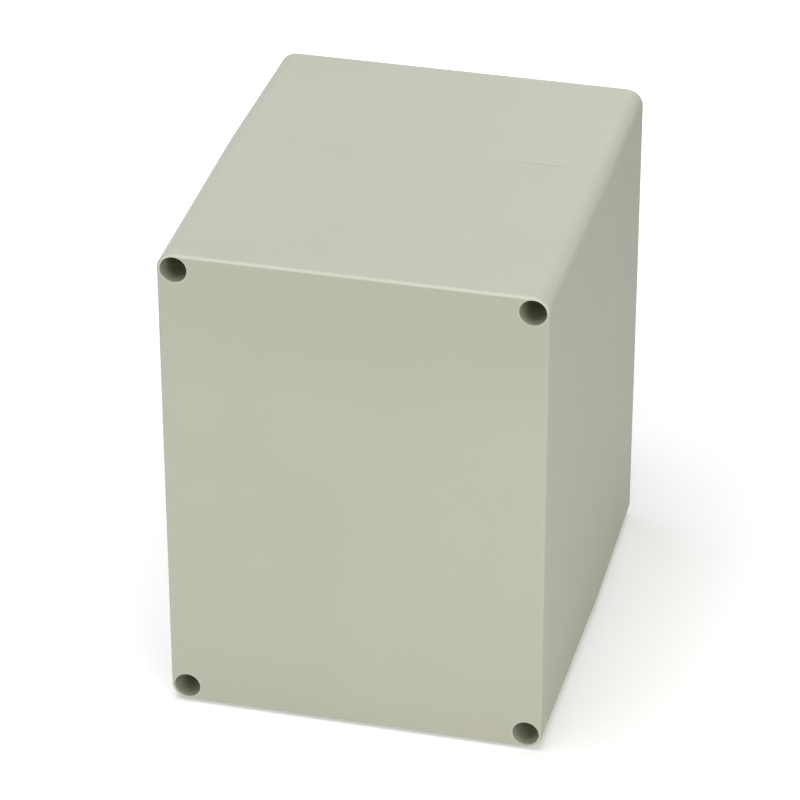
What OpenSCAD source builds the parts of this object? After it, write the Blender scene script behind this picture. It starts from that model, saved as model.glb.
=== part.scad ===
// A two-shell plastic project box. It stands on a narrow side, with the cover to the front (-Y).
// The origin is under the middle of the box, on the surface that it stands on, and +Z is up.

/* [Case] */
// Width across the case, at the parting line
case_width = 120; // [100:1:180]
// Height of the case as it stands, at the parting line
case_height = 160; // [110:1:240]
// Depth of the cover shell, from the parting line to its face
cover_depth = 80; // [50:1:110]
// Depth of the base shell, from the parting line to its back
base_depth = 60; // [40:1:110]
// Thickness of the side walls
wall = 2.5; // [2.2:0.1:3.5]
// Thickness of the two closed faces
face_wall = 3; // [2:0.1:5]
// Draft of the walls, in degrees from square
draft = 0.68; // [0.3:0.01:1.2]
// Round along the edges of the cover's face
cover_edge_r = 0.8; // [0.4:0.05:2]
// Round along the edges of the base's back
base_edge_r = 2; // [0.5:0.1:3]
// Round inside, where the walls meet the closed faces
inner_edge_r = 1.5; // [0.5:0.1:2]

/* [Screw wells] */
// Clearance round a screw's head in the deep wells of the cover's corners
well_gap = 0.65; // [0.3:0.05:1.2]
// Wall between a well and the outside of its corner, at the cover's face
rim_wall = 0.9; // [0.6:0.05:2]
// Wall between a well and the inside of the case
tower_wall = 1.8; // [1.2:0.1:3]
// Thickness of the seat under each screw head, at the foot of its well
screw_seat = 5; // [3:0.1:10]

/* [Cover screws] */
// Diameter of the screw heads
head_d = 7; // [6:0.1:8]
// Height of the screw heads
head_h = 2.6; // [2:0.1:3.5]
// Height of the domed part of a head
dome_h = 1.5; // [0.8:0.1:1.8]
// Depth of the cross recess in a head
recess_depth = 1.5; // [1:0.1:1.8]
// Length of the recess's two slots
recess_span = 4.2; // [3:0.1:5]
// Width of the recess's slots
recess_w = 1.1; // [0.8:0.1:1.5]
// Outer diameter of the screws' thread
thread_d = 3.5; // [3:0.1:4]
// Core diameter of the screws, inside the thread
core_d = 2.6; // [2:0.1:3]
// Wall round the screw bores in the base
post_wall = 2.7; // [2:0.1:4]
// Length of the screws under the head
screw_length = 16; // [12:1:25]

/* [Joint between the shells] */
// Height of the tongue on the cover's rim
tongue_h = 2; // [1:0.1:3]
// Thickness of the tongue
tongue_t = 1; // [0.8:0.1:1.4]
// Step from the inside of the wall to the tongue
tongue_inset = 0.2; // [0.1:0.05:0.4]
// Clearance round the tongue in the base's rebate
tongue_gap = 0.15; // [0.1:0.05:0.3]
// Bevel on the outer edge of both rims, which shows as the parting line
rim_bevel = 0.12; // [0.05:0.01:0.4]

/* [Board mountings] */
// Distance from the outside of the case to the standoffs' axes, at the parting line
board_inset = 15; // [12:0.5:25]
// Diameter of the standoffs
standoff_d = 7; // [6:0.1:9]
// Height of the standoffs over the base's inner face
standoff_h = 8; // [5:0.5:15]
// Diameter of the pilot bores in the standoffs
board_bore_d = 2.8; // [2:0.1:3.2]
// Number of card slots on each upright wall
slot_count = 3; // [1:1:5]
// Distance from one card slot to the next
slot_pitch = 40; // [15:1:60]
// Width of a card slot
slot_w = 1.8; // [1.2:0.1:3]
// Thickness of the ribs beside a slot
rib_t = 1.2; // [0.8:0.1:2]
// Reach of the ribs from the wall
rib_reach = 3; // [2:0.1:4]
// Distance from the parting line to the ribs' ends
rib_setback = 6; // [4:0.5:15]

/* [Hidden] */
$fn = 64;

// A cut runs this far past the surface that it opens through
proud = 1;
// Flats that make up each round along an edge
edge_steps = 8;
// Clearance round a screw's thread where it passes the cover, and round its core in the base's bore
shank_gap = 0.3;
core_gap = 0.05;
// Relief at the mouth of each of the base's screw bores, and the bore's length past the screw's tip
relief_depth = 0.8;
tip_gap = 2;
// Least depth that a screw post in the base runs into the wall of its corner
post_lap = 0.25;
// Flat left on the cover's face between a well and the rounded edge
rim_land = 0.1;
// How much further the right and the upper screws happen to be turned than the left and the lower ones
turn_right = 40;
turn_upper = 70;

// How far a wall leans in for each millimetre of depth
lean = tan(draft);
parting_y = (cover_depth - base_depth) / 2;

// The corners are cones about the wells' own axes, so that the rim wall is even round each well.
// Their radius at the parting line is rounded up to a twentieth of a millimetre.
well_r = head_d / 2 + well_gap;
corner_r = ceil((well_r + rim_wall + cover_depth * lean) * 20) / 20;
corner_x = case_width / 2 - corner_r;
corner_y = case_height / 2 - corner_r;
inner_r = corner_r - wall;
tower_r = well_r + tower_wall;
bore_r = core_d / 2 + core_gap;
// The base's posts are never slimmer than the inside of the corner that they fill
post_r = max(bore_r + post_wall, inner_r + post_lap);

shell_color = [0.74, 0.745, 0.68];
screw_color = [0.72, 0.72, 0.70];

// The shells and screws are drawn with the parting line at height 0 and the cover's depth
// upwards, X across the case and Y up it. Profiles have X out from a corner's axis.

// Half of a drafted section, from a corner's axis out to its wall, closed at depth by a rounded edge
module drafted_profile(reach, depth, edge_r, start = 0, bevel = 0) {
    arc_y = depth - edge_r;
    arc_x = reach - arc_y * lean - edge_r / cos(draft);
    polygon([
        [0, start],
        [reach - start * lean - bevel, start],
        if (bevel > 0) [reach - (start + bevel) * lean, start + bevel],
        for (k = [0 : edge_steps])
            let (turn = draft + k / edge_steps * (90 - draft))
            [arc_x + edge_r * cos(turn), arc_y + edge_r * sin(turn)],
        [0, depth],
    ]);
}

// Carries its child profile round the case: a straight run along each wall and a quarter turn at each corner
module swept_round() {
    for (side = [0 : 3]) {
        upright = side % 2 == 0;
        out = upright ? corner_x : corner_y;
        run = upright ? 2 * corner_y : 2 * corner_x;
        rotate(90 * side) translate([out, run / 2, 0]) {
            rotate_extrude(angle = 90) children();
            rotate([90, 0, 0]) linear_extrude(run) children();
        }
    }
}

module drafted_block(reach, depth, edge_r, start = 0, bevel = 0) {
    swept_round() drafted_profile(reach, depth, edge_r, start, bevel);
    translate([-corner_x, -corner_y, start]) cube([2 * corner_x, 2 * corner_y, depth - start]);
}

module at_corners(x = corner_x, y = corner_y) {
    for (i = [-1, 1], j = [-1, 1]) translate([i * x, j * y, 0]) children();
}

// Pairs of ribs down the upright walls, which hold a board by its edges
module card_guides(depth) {
    half = case_width / 2;
    rib_top = half - wall - rib_setback * lean;
    rib_foot = half - wall - depth * lean - rib_reach;
    for (i = [-1, 1], slot = [0 : slot_count - 1], side = [-1, 1]) {
        slot_y = (slot - (slot_count - 1) / 2) * slot_pitch;
        rib_y = slot_y + side * (slot_w + rib_t) / 2;
        scale([i, 1, 1]) translate([0, rib_y + rib_t / 2, 0]) rotate([90, 0, 0]) linear_extrude(rib_t)
            polygon([
                [half, rib_setback],
                [rib_top, rib_setback],
                [rib_top - rib_reach, rib_setback + rib_reach],
                [rib_foot, depth],
                [half, depth],
            ]);
    }
}

// The space inside a shell, less its corner columns, the card guides and what its children add
module hollow(depth, column_r) {
    inner_depth = depth - face_wall;
    edge_r = min(inner_edge_r, inner_r - depth * lean);
    difference() {
        drafted_block(inner_r, inner_depth, edge_r, -proud);
        at_corners() translate([0, 0, -2 * proud]) cylinder(r = column_r, h = depth + 2 * proud);
        card_guides(inner_depth);
        children();
    }
}

// Stands a shell or a screw up in its place in the box
module stood_up() {
    translate([0, parting_y, case_height / 2]) rotate([90, 0, 0]) children();
}

module cover_shell() {
    edge_r = min(cover_edge_r, rim_wall - rim_land);
    color(shell_color) stood_up() difference() {
        union() {
            difference() {
                drafted_block(corner_r, cover_depth, edge_r, bevel = rim_bevel);
                hollow(cover_depth, tower_r);
            }
            swept_round() translate([inner_r + tongue_inset, -tongue_h])
                square([tongue_t, tongue_h + proud]);
        }
        at_corners() {
            translate([0, 0, screw_seat]) cylinder(r = well_r, h = cover_depth);
            translate([0, 0, -proud]) cylinder(r = thread_d / 2 + shank_gap, h = screw_seat + 2 * proud);
        }
    }
}

module at_standoffs() {
    at_corners(case_width / 2 - board_inset, case_height / 2 - board_inset)
        translate([0, 0, base_depth - face_wall - standoff_h]) children();
}

module base_shell() {
    bore_depth = screw_length - screw_seat + tip_gap;
    color(shell_color) stood_up() mirror([0, 0, 1]) difference() {
        drafted_block(corner_r, base_depth, base_edge_r, bevel = rim_bevel);
        hollow(base_depth, post_r) at_standoffs() cylinder(d = standoff_d, h = standoff_h + proud);
        // The rebate that takes the cover's tongue
        swept_round() translate([inner_r - tongue_gap, -proud])
            square([tongue_inset + tongue_t + 2 * tongue_gap, tongue_h + tongue_gap + proud]);
        at_corners() translate([0, 0, -proud]) {
            cylinder(r = bore_r, h = bore_depth + proud);
            cylinder(r = thread_d / 2 + core_gap, h = relief_depth + proud);
        }
        at_standoffs() translate([0, 0, -proud]) cylinder(d = board_bore_d, h = standoff_h + proud);
    }
}

// A pan-head screw on its corner's axis, with its head on the seat at the foot of the well
module corner_screw(i, j) {
    head_r = head_d / 2;
    dome_r = (head_r * head_r + dome_h * dome_h) / (2 * dome_h);
    tip_h = core_d / 2;
    turn = (i > 0 ? turn_right : 0) + (j > 0 ? turn_upper : 0);
    color(screw_color) stood_up() translate([i * corner_x, j * corner_y, screw_seat]) {
        difference() {
            intersection() {
                cylinder(r = head_r, h = head_h);
                translate([0, 0, head_h - dome_r]) sphere(dome_r);
            }
            for (slot_turn = [0, 90]) rotate(turn + slot_turn)
                translate([-recess_span / 2, -recess_w / 2, head_h - recess_depth])
                    cube([recess_span, recess_w, recess_depth + proud]);
        }
        translate([0, 0, tip_h - screw_length]) cylinder(d = core_d, h = screw_length - tip_h);
        translate([0, 0, -screw_length]) cylinder(d1 = core_d / 2, d2 = core_d, h = tip_h);
    }
}

cover_shell();
base_shell();
corner_screw(-1, -1);  // screw_lower_left
corner_screw(1, -1);  // screw_lower_right
corner_screw(-1, 1);  // screw_upper_left
corner_screw(1, 1);  // screw_upper_right
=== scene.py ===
"""A closed plastic project box, stood on a narrow side with its screw wells to the front."""
import math

import bmesh
import bpy
from mathutils import Matrix, Vector


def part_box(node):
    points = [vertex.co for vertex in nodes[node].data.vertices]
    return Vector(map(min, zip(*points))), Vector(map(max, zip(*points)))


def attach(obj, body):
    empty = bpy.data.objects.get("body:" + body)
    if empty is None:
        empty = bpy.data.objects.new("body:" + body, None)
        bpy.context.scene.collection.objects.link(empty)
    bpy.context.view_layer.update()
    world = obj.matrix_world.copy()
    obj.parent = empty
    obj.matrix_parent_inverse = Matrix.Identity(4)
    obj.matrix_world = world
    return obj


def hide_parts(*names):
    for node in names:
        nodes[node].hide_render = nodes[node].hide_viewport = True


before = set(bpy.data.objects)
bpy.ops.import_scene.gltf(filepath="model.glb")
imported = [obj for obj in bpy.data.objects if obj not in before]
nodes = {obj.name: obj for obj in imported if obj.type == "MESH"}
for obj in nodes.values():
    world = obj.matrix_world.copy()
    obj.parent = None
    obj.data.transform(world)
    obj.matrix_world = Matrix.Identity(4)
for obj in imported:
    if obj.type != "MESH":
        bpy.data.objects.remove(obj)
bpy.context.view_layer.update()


# The two shells of the case: the deep cover in front and the shallower base behind it. Both are
# injection moulded in pale olive grey ABS, in satin tools with a little draft, so their faces are
# smooth to the hand; faint flow, a few dark resin specks, painted highlights and painted shade
# show.
class Tap:
    """A socket in a tree of nodes, which sums, products and comparisons can be written with."""

    def __init__(self, tree, socket=None):
        self.tree = tree
        self.socket = socket

    def node(self, kind, settings=None, sockets=None, output=0):
        """Adds a node: its settings are set first, then the values or links of its sockets."""
        made = self.tree.nodes.new(kind)
        for name, value in (settings or {}).items():
            setattr(made, name, value)
        for name, value in (sockets or {}).items():
            if isinstance(value, Tap):
                self.tree.links.new(value.socket, made.inputs[name])
            else:
                made.inputs[name].default_value = value
        return Tap(self.tree, made.outputs[output]) if made.outputs else None

    def math(self, operation, *values):
        return self.node("ShaderNodeMath", {"operation": operation}, dict(enumerate(values)))

    def __add__(self, other):
        return self.math("ADD", self, other)

    __radd__ = __add__

    def __sub__(self, other):
        return self.math("SUBTRACT", self, other)

    def __rsub__(self, other):
        return self.math("SUBTRACT", other, self)

    def __mul__(self, other):
        return self.math("MULTIPLY", self, other)

    __rmul__ = __mul__

    def __gt__(self, other):
        return self.math("GREATER_THAN", self, other)

    # Reflected form of the one above, for a number on the left of a >
    def __lt__(self, other):
        return self.math("LESS_THAN", self, other)

    def ramp(self, low, high):
        """0 up to low, 1 from high, and a smooth rise between them."""
        limits = {"Value": self, "From Min": low, "From Max": high}
        return self.node("ShaderNodeMapRange", {"interpolation_type": "SMOOTHSTEP"}, limits)

    def band(self, start, full, fading, end):
        """0 up to start and from end, 1 from full to fading, and smooth between them."""
        return self.ramp(start, full) * (1 - self.ramp(fading, end))

    def towards(self, first, second):
        """Mixes two colours, with this socket as the share of the second."""
        # A Mix node has sockets of the same names for each kind of value, so these go by number
        sockets = {0: self, 6: first, 7: second}
        return self.node("ShaderNodeMix", {"data_type": "RGBA"}, sockets, output=2)

    def noise(self, scale, detail, distortion=0):
        """A cloudy pattern at the place that this socket gives."""
        sockets = {"Vector": self, "Scale": scale, "Detail": detail, "Distortion": distortion}
        return self.node("ShaderNodeTexNoise", sockets=sockets)

    def bump(self):
        """The normal of a surface that this socket raises, in metres."""
        return self.node("ShaderNodeBump", sockets={"Height": self, "Strength": 1, "Distance": 1})


def linear(red, green, blue):
    """A colour as it's seen on a screen, from 0 to 255 a channel, in the form that nodes take."""
    levels = (red / 255, green / 255, blue / 255)
    light = [v / 12.92 if v < 0.0404 else ((v + 0.055) / 1.055) ** 2.4 for v in levels]
    return (*light, 1)


def empty_tree(owner):
    """Clears the nodes of a material or a world, and gives the start of its expressions."""
    owner.use_nodes = True
    owner.node_tree.nodes.clear()
    return Tap(owner.node_tree)


# The case's top, the middle of its height, and the axes of its corners and wells
case_top_z = 0.16
case_middle_z = 0.08
corner_x = 0.054
corner_z = 0.074
# The planes of the cover's face and of the parting line
face_y = -0.07
parting_y = 0.01
# The corners' radius at the face, and the wells' radius and depth
face_corner_r = 0.00505
well_r = 0.00415
well_depth = 0.075
# Rings that the core pins leave along a well, in radians for each metre
ring_rate = 5200
# Refraction of ABS
abs_ior = 1.53
# Corners of the triangles closer than this are one, and edges sharper than this stay sharp
same_point = 1e-6
shell_sharp = math.radians(30)


def satin_abs():
    """Satin moulded ABS, with painted highlights and painted shade in its colour. Patterns are in
    metres, on Object coordinates.
    """
    material = bpy.data.materials.new("satin_abs")
    start = empty_tree(material)
    place = start.node("ShaderNodeTexCoord", output="Object")
    x, y, z = (
        start.node("ShaderNodeSeparateXYZ", sockets={"Vector": place}, output=axis)
        for axis in "XYZ"
    )

    def distance(one, other):
        return start.math("SQRT", one * one + other * other)

    # The resin's own colour drifts a little over the length of a wall
    drift = place.noise(9, 2)
    flow = place.noise(42, 5)
    cast = place.noise(15, 1, distortion=0.6)
    colour = drift.ramp(0.3, 0.7).towards(linear(186, 189, 172), linear(189, 191, 175))
    colour = (flow.ramp(0.35, 0.75) * 0.35).towards(colour, linear(191, 193, 177))
    colour = (cast.ramp(0.45, 0.65) * 0.4).towards(colour, linear(191, 190, 174))

    # The cover's face is a shade warmer to the right, and painted shade makes it duller towards
    # its upper edge
    depth = y - face_y
    face = 1 - depth.ramp(0.0001, 0.0003)
    colour = (face * x.ramp(-0.01, 0.05) * 0.8).towards(colour, linear(191, 191, 174))
    colour = (face * z.ramp(0.105, 0.145)).towards(colour, linear(184, 187, 170))

    # A few dark grains of scorched resin
    grains = start.node("ShaderNodeTexVoronoi", sockets={"Vector": place, "Scale": 130})
    colour = ((1 - grains.ramp(0.012, 0.045)) * 0.3).towards(colour, linear(120, 118, 100))

    # How far a point is in from the face's outline, and out from the nearest well's wall
    across = start.math("ABSOLUTE", x) - corner_x
    upward = start.math("ABSOLUTE", z - case_middle_z) - corner_z
    past_corner = distance(start.math("MAXIMUM", across, 0), start.math("MAXIMUM", upward, 0))
    from_edge = face_corner_r - past_corner
    from_well = distance(across, upward) - well_r

    # Painted highlights lighten the round along the face's edges, most of all the upper one, and
    # the rims of the wells
    edge_highlight = from_edge.band(0.0001, 0.00045, 0.0007, 0.0011) * (1 - depth.ramp(0.0006, 0.0009))
    upper_edge = z.ramp(case_top_z - 0.004, case_top_z - 0.002)
    colour = (edge_highlight * (0.15 + 0.85 * upper_edge)).towards(colour, linear(209, 210, 194))
    rim_highlight = face * (1 - from_well.ramp(0.0002, 0.0005))
    colour = (rim_highlight * 0.5).towards(colour, linear(208, 209, 193))

    # Painted light makes the corner rounds on the right a shade paler, on the cover more than on
    # the base
    right_round_highlight = (x - corner_x).ramp(0.003, 0.0042) * upward.band(0, 0.0008, 0.003, 0.0045)
    right_round_highlight = right_round_highlight * (0.5 - 0.2 * depth.ramp(0.06, 0.09))
    colour = right_round_highlight.towards(colour, linear(199, 201, 185))

    # The wells' walls show faint rings from the turned core pins that formed them. Painted shade
    # darkens the walls, more above than on their lower half, and the rings vary it.
    down_well = depth.band(0.0003, 0.0006, well_depth + 0.001, well_depth + 0.002)
    inside = (1 - from_well.ramp(0.00002, 0.00005)) * down_well
    rise = z - (case_middle_z - corner_z) - 2 * corner_z * (z > case_middle_z)
    rings = start.math("SINE", depth * ring_rate + 2.5 * flow)
    well_shade = inside * (0.2 + 0.6 * rise.ramp(-0.002, 0.003) + 0.2 * rings)
    colour = well_shade.towards(colour, linear(150, 150, 128))

    # Painted shade darkens a stretch of the parting line on the upper side, where it stands a hair
    # open
    in_line = 1 - start.math("ABSOLUTE", y - parting_y).ramp(0.00012, 0.00022)
    on_top = z.ramp(case_top_z - 0.0012, case_top_z - 0.001)
    seam_shade = in_line * on_top * x.band(0.029, 0.039, 0.042, 0.05)
    colour = (seam_shade * 0.75).towards(colour, linear(140, 138, 122))

    # The tool's fine grain, and the slight sink of the walls between their thicker places
    grain = place.noise(2600, 3)
    sink = place.noise(14, 1)
    height = sink * 0.00004 + grain * 0.000003

    shader = start.node(
        "ShaderNodeBsdfPrincipled",
        sockets={
            "Base Color": colour,
            "Roughness": 0.4 + 0.08 * flow,
            "Normal": height.bump(),
            "IOR": abs_ior,
        },
    )
    start.node("ShaderNodeOutputMaterial", sockets={"Surface": shader})
    return material


abs_plastic = satin_abs()
for name in ("base_shell", "cover_shell"):
    shell = nodes[name]
    for slot in shell.material_slots:
        slot.material = abs_plastic
    shell.modifiers.new("joined", "WELD").merge_threshold = same_point
    shell.modifiers.new("edges", "EDGE_SPLIT").split_angle = shell_sharp
    shell.modifiers.new("flats", "WEIGHTED_NORMAL").keep_sharp = True


# The four cover screws: thread-forming screws for plastic, cold headed from steel wire with a
# domed pan head and a cross recess, thread rolled, and plated in bright zinc. Each has its head
# on the seat at the foot of a well, and runs through the cover into a post of the base.
seat_y = 0.005
screw_sharp = math.radians(35)
# The domed part of the head, its small bevel, and the fillet between it and the core
dome_h = 0.0015
dome_steps = 8
head_bevel = 0.0002
neck_fillet = 0.0003
# The core, and the blunt end of its tip
core_r = 0.0013
tip_r = 0.4 * core_r
tip_blunt = 0.0001
# Steps of the turned shape, whose points on the axis merge when they are closer than this
turned_steps = 48
axis_gap = 1e-7
# The thread, whose foot lies a little inside the core, and the plain length under the head
thread_r = 0.00175
thread_foot_r = core_r - 0.0001
thread_pitch = 0.0016
ridge_half = 0.0004
ridge_steps = 24
plain_length = 0.0015
# The cross recess, the share of its size left at its lowest point, and its turn in each head
recess_span = 0.0042
recess_w = 0.0011
recess_depth = 0.0015
recess_taper = 0.6
recess_turns = {
    "screw_lower_left": 0,
    "screw_lower_right": 40,
    "screw_upper_left": 70,
    "screw_upper_right": 110,
}


def bright_zinc():
    """Zinc plate: bright with a faint blue cast, clouded, and lined by drawing and rolling."""
    material = bpy.data.materials.new("bright_zinc")
    start = empty_tree(material)
    place = start.node("ShaderNodeTexCoord", output="Object")
    drawn = start.node("ShaderNodeMapping", sockets={"Vector": place, "Scale": (1, 0.15, 1)})
    clouds = place.noise(900, 4)
    lines = drawn.noise(9000, 3)
    height = 0.000004 * clouds + 0.000002 * lines
    shader = start.node(
        "ShaderNodeBsdfPrincipled",
        sockets={
            "Base Color": clouds.ramp(0.35, 0.65).towards(
                linear(192, 195, 198), linear(212, 212, 208)
            ),
            "Metallic": 1,
            "Roughness": 0.24 + 0.2 * clouds,
            "Normal": height.bump(),
        },
    )
    start.node("ShaderNodeOutputMaterial", sockets={"Surface": shader})
    return material


def turn_blank(head_r, head_h, length):
    """The head and core as one turned shape about Z, with the seat under the head at height 0."""
    profile = [
        (0, -length),
        (tip_r, tip_blunt - length),
        (core_r, core_r - length),
        (core_r, -neck_fillet),
        (core_r + neck_fillet, 0),
        (head_r - head_bevel, 0),
        (head_r, head_bevel),
        (head_r, head_h - dome_h),
    ]
    dome_r = (head_r**2 + dome_h**2) / (2 * dome_h)
    for step in reversed(range(dome_steps)):
        radius = head_r * step / dome_steps
        profile.append((radius, head_h - dome_r + math.sqrt(dome_r**2 - radius**2)))
    blank = bmesh.new()
    line = [blank.verts.new((radius, 0, height)) for radius, height in profile]
    edges = [blank.edges.new(pair) for pair in zip(line, line[1:])]
    bmesh.ops.spin(
        blank,
        geom=line + edges,
        cent=(0, 0, 0),
        axis=(0, 0, 1),
        angle=math.tau,
        steps=turned_steps,
        use_merge=True,
    )
    bmesh.ops.remove_doubles(blank, verts=blank.verts, dist=axis_gap)
    bmesh.ops.recalc_face_normals(blank, faces=blank.faces)
    return blank


def cross_punch(head_h):
    """The solid that the recess leaves out: a cross whose wings draw in as they go down."""
    wing, half = recess_span / 2, recess_w / 2
    corners = [(wing, -half), (wing, half), (half, half), (half, wing)]
    corners += [(-half, wing), (-half, half)]
    corners += [(-x, -y) for x, y in corners]
    punch = bmesh.new()
    cross = punch.faces.new([punch.verts.new((x, y, head_h + recess_depth)) for x, y in corners])
    drawn = bmesh.ops.extrude_face_region(punch, geom=[cross], use_keep_orig=True)
    nose = [v for v in drawn["geom"] if isinstance(v, bmesh.types.BMVert)]
    bmesh.ops.scale(punch, vec=(recess_taper, recess_taper, 1), verts=nose)
    bmesh.ops.translate(punch, vec=(0, 0, -2 * recess_depth), verts=nose)
    bmesh.ops.recalc_face_normals(punch, faces=punch.faces)
    return punch


def set_out(name, data):
    """Puts a mesh, a lamp or a camera in the scene as an object."""
    added = bpy.data.objects.new(name, data)
    bpy.context.scene.collection.objects.link(added)
    return added


def hang(name, shape):
    """Puts a bmesh in the scene as an object."""
    mesh = bpy.data.meshes.new(name)
    shape.to_mesh(mesh)
    shape.free()
    return set_out(name, mesh)


def punched(blank, punch):
    """The blank with the punch's solid taken out of its head."""
    blank, punch = hang("blank", blank), hang("punch", punch)
    cut = blank.modifiers.new("recess", "BOOLEAN")
    cut.object = punch
    cut.solver = "EXACT"
    shape = bmesh.new()
    shape.from_object(blank, bpy.context.evaluated_depsgraph_get())
    for used in (blank, punch):
        bpy.data.meshes.remove(used.data)
    return shape


def roll_thread(screw, length):
    """Winds a ridge up the core, which rises out of it at the tip and runs out below the head."""
    low, high = core_r - length, -plain_length
    steps = int(ridge_steps * (high - low) / thread_pitch)
    blank = set(screw.verts)
    corners = ((thread_foot_r, -ridge_half), (thread_r, 0), (thread_foot_r, ridge_half))
    section = [screw.verts.new((radius, 0, low + height)) for radius, height in corners]
    bmesh.ops.spin(
        screw,
        geom=[screw.faces.new(section)],
        cent=(0, 0, 0),
        axis=(0, 0, 1),
        dvec=(0, 0, thread_pitch / ridge_steps),
        angle=math.tau * steps / ridge_steps,
        steps=steps,
    )
    for vert in set(screw.verts) - blank:
        radius = vert.co.xy.length
        from_tip = (vert.co.z - low + ridge_half) / thread_pitch
        from_head = (high + ridge_half - vert.co.z) / thread_pitch
        grown = max(min(from_tip, from_head, 1), 0)
        vert.co.xy *= (thread_foot_r + (radius - thread_foot_r) * grown) / radius
    bmesh.ops.recalc_face_normals(screw, faces=screw.faces)


zinc = bright_zinc()
for name, turn in recess_turns.items():
    low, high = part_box(name)
    head_r, head_h, length = (high.x - low.x) / 2, seat_y - low.y, high.y - seat_y
    shape = punched(turn_blank(head_r, head_h, length), cross_punch(head_h))
    roll_thread(shape, length)
    seat = Matrix.Translation(((low.x + high.x) / 2, seat_y, (low.z + high.z) / 2))
    laid_down = Matrix.Rotation(math.pi / 2, 4, "X")
    driven = Matrix.Rotation(math.radians(turn), 4, "Z")
    bmesh.ops.transform(shape, matrix=seat @ laid_down @ driven, verts=shape.verts)
    screw = hang(name.replace("screw", "cover_screw"), shape)
    screw.data.materials.append(zinc)
    screw.data.polygons.foreach_set("use_smooth", [True] * len(screw.data.polygons))
    screw.data.set_sharp_from_angle(angle=screw_sharp)
    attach(screw, "root")
    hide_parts(name)


# The floor is a plain white sheet. The camera, and anything glossy or clear, sees it as white,
# apart from the box's own soft shadow.
floor_half = 4
white = (1, 1, 1, 1)


def seen_by(start, *kinds):
    """1 for rays of the given kinds, and 0 for the rest."""
    rays = [start.node("ShaderNodeLightPath", output=f"Is {kind} Ray") for kind in kinds]
    return sum(rays[1:], rays[0]) > 0.5


def white_sheet():
    """Off-white paper, which glows to the camera and to gloss, and more so away from the box."""
    material = bpy.data.materials.new("white_sheet")
    start = empty_tree(material)
    place = start.node("ShaderNodeTexCoord", output="Object")
    reach = start.node("ShaderNodeVectorMath", {"operation": "LENGTH"}, {0: place}, output="Value")
    glow = seen_by(start, "Camera") * (0.36 + 0.64 * reach.ramp(0.14, 0.5))
    glow = glow + seen_by(start, "Glossy", "Transmission") * (0.2 + 0.35 * reach.ramp(0.35, 1.1))
    paper = start.node("ShaderNodeBsdfDiffuse", sockets={"Color": linear(236, 236, 236)})
    light = start.node("ShaderNodeEmission", sockets={"Color": white, "Strength": glow})
    surface = start.node("ShaderNodeAddShader", sockets={0: paper, 1: light})
    start.node("ShaderNodeOutputMaterial", sockets={"Surface": surface})
    return material


sheet = bmesh.new()
bmesh.ops.create_grid(sheet, x_segments=1, y_segments=1, size=floor_half)
floor = hang("floor", sheet)
floor.data.materials.append(white_sheet())


# Soft studio light: square softboxes all round, each aimed at the middle of the box. One hangs
# close over it and is a little cooler than the rest, one on the right is warmer, and two small
# ones stand low in front. The world behind them is plain white to the camera, gloss and glass.
box_middle = Vector((0, 0, case_middle_z))


def softbox(name, azimuth, elevation, distance, side, power, colour=(1, 1, 1)):
    """A square lamp, azimuth degrees from the front towards the right and elevation degrees up.

    Its distance from the middle of the box and its side are in metres, and its power in watts.
    """
    light = bpy.data.lights.new(name, "AREA")
    light.shape = "SQUARE"
    light.size = side
    light.energy = power
    light.color = colour
    round_box = Matrix.Rotation(math.radians(azimuth), 3, "Z")
    way = round_box @ Matrix.Rotation(math.radians(-elevation), 3, "X")
    lamp = set_out(name, light)
    lamp.location = box_middle + way @ Vector((0, -distance, 0))
    lamp.rotation_euler = (box_middle - lamp.location).to_track_quat("-Z", "Y").to_euler()


softbox("overhead", 0, 90, 0.8, 0.4, 2.96, (0.95, 0.95, 1))
softbox("high_front", 0, 70, 1.5, 0.8, 6.48)
softbox("high_left", -90, 70, 1.5, 0.8, 3.65)
softbox("front", 0, 12, 0.8, 0.35, 0.4)
softbox("low_left", -30, 3, 0.5, 0.15, 0.4)
softbox("low_right", 30, 3, 0.5, 0.15, 0.39)
softbox("right", 60, 15, 1.5, 0.8, 4.45, (1, 1, 0.76))
softbox("far_right", 120, 12, 1.5, 0.8, 0.5)
softbox("back_right", 150, 15, 1.5, 0.8, 0.6)
softbox("back", 180, 8, 1.5, 0.4, 2.5)
softbox("back_left", -130, 8, 1.5, 0.4, 1)

world = bpy.data.worlds.new("studio")
bpy.context.scene.world = world
air = empty_tree(world)
seen = seen_by(air, "Camera", "Glossy", "Transmission")
backdrop = air.node("ShaderNodeBackground", sockets={"Color": white, "Strength": seen})
air.node("ShaderNodeOutputWorld", sockets={"Surface": backdrop})


# The camera stands a good metre off, up and to the right of the box, with a long lens. Its place,
# its angles and its lens make the box's outline, parting line and wells fall as in the photo.
camera_place = Vector((0.2569006, -1.0396906, 0.7142697))
azimuth = math.radians(14.0342)
elevation = math.radians(30.7605)
roll = math.radians(-0.096)
lens = bpy.data.cameras.new("camera")
lens.lens = 178.0926
lens.sensor_width = 36
camera = set_out("camera", lens)
camera.matrix_world = (
    Matrix.Translation(camera_place)
    @ Matrix.Rotation(azimuth, 4, "Z")
    @ Matrix.Rotation(math.pi / 2 - elevation, 4, "X")
    @ Matrix.Rotation(roll, 4, "Z")
)
bpy.context.scene.camera = camera
bpy.context.scene.view_settings.view_transform = "Standard"
